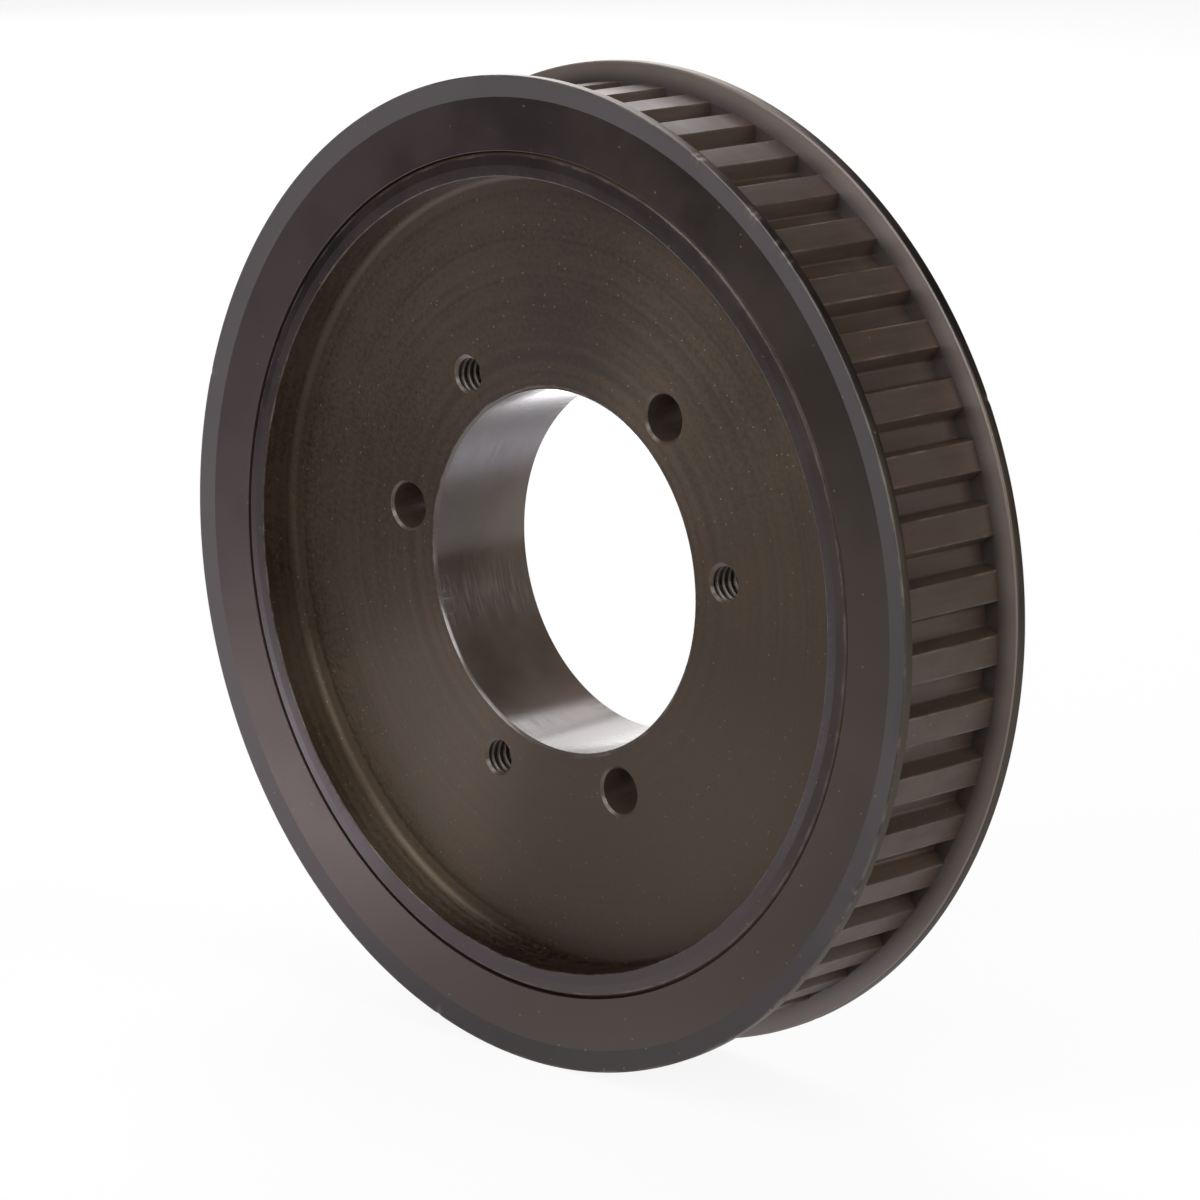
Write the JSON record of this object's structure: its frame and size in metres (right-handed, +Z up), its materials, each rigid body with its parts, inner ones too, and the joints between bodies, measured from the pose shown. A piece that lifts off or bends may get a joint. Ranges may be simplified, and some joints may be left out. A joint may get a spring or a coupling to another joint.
{
  "type": "timing belt pulley",
  "caption": "Flanged timing belt pulley with straight-sided grooves, a recessed web, and a tapered hub seat ringed by drilled and tapped screw holes.",
  "frame": {"origin": "on the pulley's axis, midway across the belt face, where the centre line of the belt meets the axis", "axes": "+Y along the axis from the recessed front to the flat rear, +Z up as the pulley stands on its rim, +X to the right seen from the front"},
  "size_m": [0.151, 0.0258, 0.151],
  "materials": {
    "body_steel": "turned and milled, chemically blackened, brown-black with a low sheen",
    "flange_steel": "pressed sheet steel, chemically blackened, satin with a faint violet cast"
  },
  "bodies": {
    "root": {"toothed_body": "body_steel", "front_flange": "flange_steel", "rear_flange": "flange_steel"}
  },
  "joints": []
}
